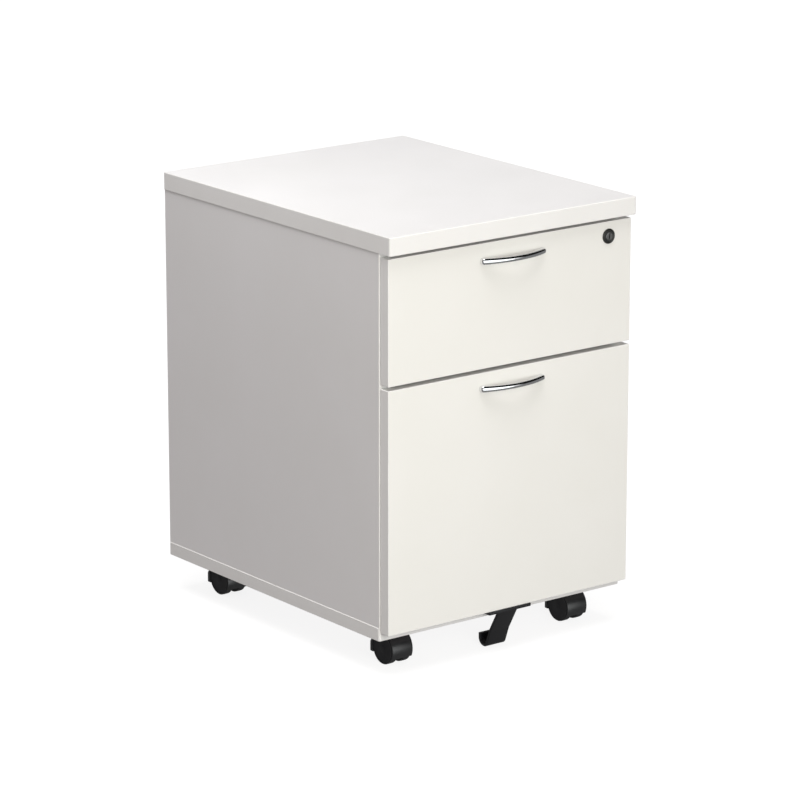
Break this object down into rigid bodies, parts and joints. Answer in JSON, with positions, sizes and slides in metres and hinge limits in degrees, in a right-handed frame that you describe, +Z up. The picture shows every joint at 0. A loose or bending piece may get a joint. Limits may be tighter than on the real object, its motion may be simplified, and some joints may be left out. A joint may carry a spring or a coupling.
{
  "type": "rolling pedestal cabinet",
  "caption": "White board pedestal cabinet on hooded twin-wheel castors, with a shallow lockable drawer over a deep file drawer, bow handles and an anti-tilt foot.",
  "frame": {"origin": "on the floor, under the middle of the outer box, which reaches from the handles to the back", "axes": "+X to the cabinet's right as seen from the front, +Y to the back, +Z up; the drawers open towards -Y"},
  "size_m": [0.404, 0.5091, 0.5845],
  "materials": {
    "melamine_top": "smooth white melamine, very fine pearl texture",
    "melamine": "smooth white melamine, very fine pearl texture",
    "front_laminate": "warm white melamine, satin",
    "edging": "satin white plastic edging",
    "handle_chrome": "polished",
    "drawer_steel": "light grey powder coat",
    "slide_zinc": "bright zinc plate",
    "fitting_zinc": "zinc plate",
    "beech": "turned beech, fluted",
    "guide_plastic": "moulded",
    "lock_dark": "black nickel, satin",
    "lock_plug": "dark nickel, turned",
    "castor_black": "moulded nylon, semi-gloss",
    "wheel_black": "moulded nylon, satin",
    "axle_steel": "ground",
    "foot_black": "black powder coat"
  },
  "bodies": {
    "carcass": {"back_panel": "melamine", "base_edging": "edging", "base_panel": "melamine", "cam_bolts": "fitting_zinc", "cam_locks": "fitting_zinc", "castor_plates": "slide_zinc", "castor_screws": "fitting_zinc", "dowels": "beech", "file_slide_cabinet_members": "slide_zinc", "left_side_panel": "melamine", "lock_bar_guides": "guide_plastic", "right_side_panel": "melamine", "side_edging": "edging", "slide_screws": "fitting_zinc", "top_edging": "edging", "top_panel": "melamine_top", "upper_slide_cabinet_members": "slide_zinc"},
    "upper_drawer": {"lock_housing": "lock_dark", "lock_nut": "slide_zinc", "upper_drawer_back": "drawer_steel", "upper_drawer_bottom": "drawer_steel", "upper_drawer_front": "front_laminate", "upper_drawer_front_edging": "edging", "upper_drawer_handle": "handle_chrome", "upper_drawer_left_side": "drawer_steel", "upper_drawer_right_side": "drawer_steel", "upper_drawer_screws": "fitting_zinc", "upper_slide_drawer_members": "slide_zinc"},
    "lock_barrel": {"lock_barrel": "lock_plug", "lock_crank": "lock_dark"},
    "lock_bar": {"lock_bar": "slide_zinc"},
    "file_slide_middle": {"file_slide_middle_members": "slide_zinc"},
    "file_drawer": {"anti_tilt_foot": "foot_black", "file_drawer_back": "drawer_steel", "file_drawer_bottom": "drawer_steel", "file_drawer_front": "front_laminate", "file_drawer_front_edging": "edging", "file_drawer_handle": "handle_chrome", "file_drawer_left_side": "drawer_steel", "file_drawer_right_side": "drawer_steel", "file_drawer_screws": "fitting_zinc", "file_slide_drawer_members": "slide_zinc", "foot_screws": "fitting_zinc", "hanging_file_rails": "drawer_steel"},
    "castor_front_left": {"castor_hood_front_left": "castor_black", "castor_axle_front_left": "axle_steel"},
    "castor_left_wheel_front_left": {"castor_left_wheel_front_left": "wheel_black"},
    "castor_right_wheel_front_left": {"castor_right_wheel_front_left": "wheel_black"},
    "castor_front_right": {"castor_hood_front_right": "castor_black", "castor_axle_front_right": "axle_steel"},
    "castor_left_wheel_front_right": {"castor_left_wheel_front_right": "wheel_black"},
    "castor_right_wheel_front_right": {"castor_right_wheel_front_right": "wheel_black"},
    "castor_rear_left": {"castor_hood_rear_left": "castor_black", "castor_axle_rear_left": "axle_steel"},
    "castor_left_wheel_rear_left": {"castor_left_wheel_rear_left": "wheel_black"},
    "castor_right_wheel_rear_left": {"castor_right_wheel_rear_left": "wheel_black"},
    "castor_rear_right": {"castor_hood_rear_right": "castor_black", "castor_axle_rear_right": "axle_steel"},
    "castor_left_wheel_rear_right": {"castor_left_wheel_rear_right": "wheel_black"},
    "castor_right_wheel_rear_right": {"castor_right_wheel_rear_right": "wheel_black"}
  },
  "joints": [
    {"name": "upper_drawer_slide", "type": "slide", "parent": "carcass", "child": "upper_drawer", "axis": [0, -1, 0], "range_m": [0, 0.3]},
    {"name": "file_drawer_slide", "type": "slide", "parent": "carcass", "child": "file_drawer", "axis": [0, -1, 0], "range_m": [0, 0.4]},
    {"name": "file_slide_middle_slide", "type": "slide", "parent": "carcass", "child": "file_slide_middle", "axis": [0, -1, 0], "range_m": [0, 0.2]},
    {"name": "lock_turn", "type": "hinge", "parent": "upper_drawer", "child": "lock_barrel", "pos_m": [0.1606, -0.23805, 0.5358], "axis": [0, 1, 0], "range_deg": [0, 90]},
    {"name": "lock_bar_lift", "type": "slide", "parent": "carcass", "child": "lock_bar", "axis": [0, 0, 1], "range_m": [0, 0.00848]},
    {"name": "castor_swivel_front_left", "type": "hinge", "parent": "carcass", "child": "castor_front_left", "pos_m": [-0.147, -0.16465, 0.035], "axis": [0, 0, 1], "continuous": true},
    {"name": "castor_left_roll_front_left", "type": "hinge", "parent": "castor_front_left", "child": "castor_left_wheel_front_left", "pos_m": [-0.147, -0.17765, 0.0208], "axis": [1, 0, 0], "continuous": true},
    {"name": "castor_right_roll_front_left", "type": "hinge", "parent": "castor_front_left", "child": "castor_right_wheel_front_left", "pos_m": [-0.147, -0.17765, 0.0208], "axis": [1, 0, 0], "continuous": true},
    {"name": "castor_swivel_front_right", "type": "hinge", "parent": "carcass", "child": "castor_front_right", "pos_m": [0.147, -0.16465, 0.035], "axis": [0, 0, 1], "continuous": true},
    {"name": "castor_left_roll_front_right", "type": "hinge", "parent": "castor_front_right", "child": "castor_left_wheel_front_right", "pos_m": [0.147, -0.17765, 0.0208], "axis": [1, 0, 0], "continuous": true},
    {"name": "castor_right_roll_front_right", "type": "hinge", "parent": "castor_front_right", "child": "castor_right_wheel_front_right", "pos_m": [0.147, -0.17765, 0.0208], "axis": [1, 0, 0], "continuous": true},
    {"name": "castor_swivel_rear_left", "type": "hinge", "parent": "carcass", "child": "castor_rear_left", "pos_m": [-0.147, 0.20535, 0.035], "axis": [0, 0, 1], "continuous": true},
    {"name": "castor_left_roll_rear_left", "type": "hinge", "parent": "castor_rear_left", "child": "castor_left_wheel_rear_left", "pos_m": [-0.147, 0.19235, 0.0208], "axis": [1, 0, 0], "continuous": true},
    {"name": "castor_right_roll_rear_left", "type": "hinge", "parent": "castor_rear_left", "child": "castor_right_wheel_rear_left", "pos_m": [-0.147, 0.19235, 0.0208], "axis": [1, 0, 0], "continuous": true},
    {"name": "castor_swivel_rear_right", "type": "hinge", "parent": "carcass", "child": "castor_rear_right", "pos_m": [0.147, 0.20535, 0.035], "axis": [0, 0, 1], "continuous": true},
    {"name": "castor_left_roll_rear_right", "type": "hinge", "parent": "castor_rear_right", "child": "castor_left_wheel_rear_right", "pos_m": [0.147, 0.19235, 0.0208], "axis": [1, 0, 0], "continuous": true},
    {"name": "castor_right_roll_rear_right", "type": "hinge", "parent": "castor_rear_right", "child": "castor_right_wheel_rear_right", "pos_m": [0.147, 0.19235, 0.0208], "axis": [1, 0, 0], "continuous": true}
  ],
  "couplings": [
    {"joint": "file_slide_middle_slide", "follows": "file_drawer_slide", "ratio": 0.5},
    {"joint": "lock_turn", "follows": "lock_bar_lift", "rad_per_m": 185.12}
  ]
}
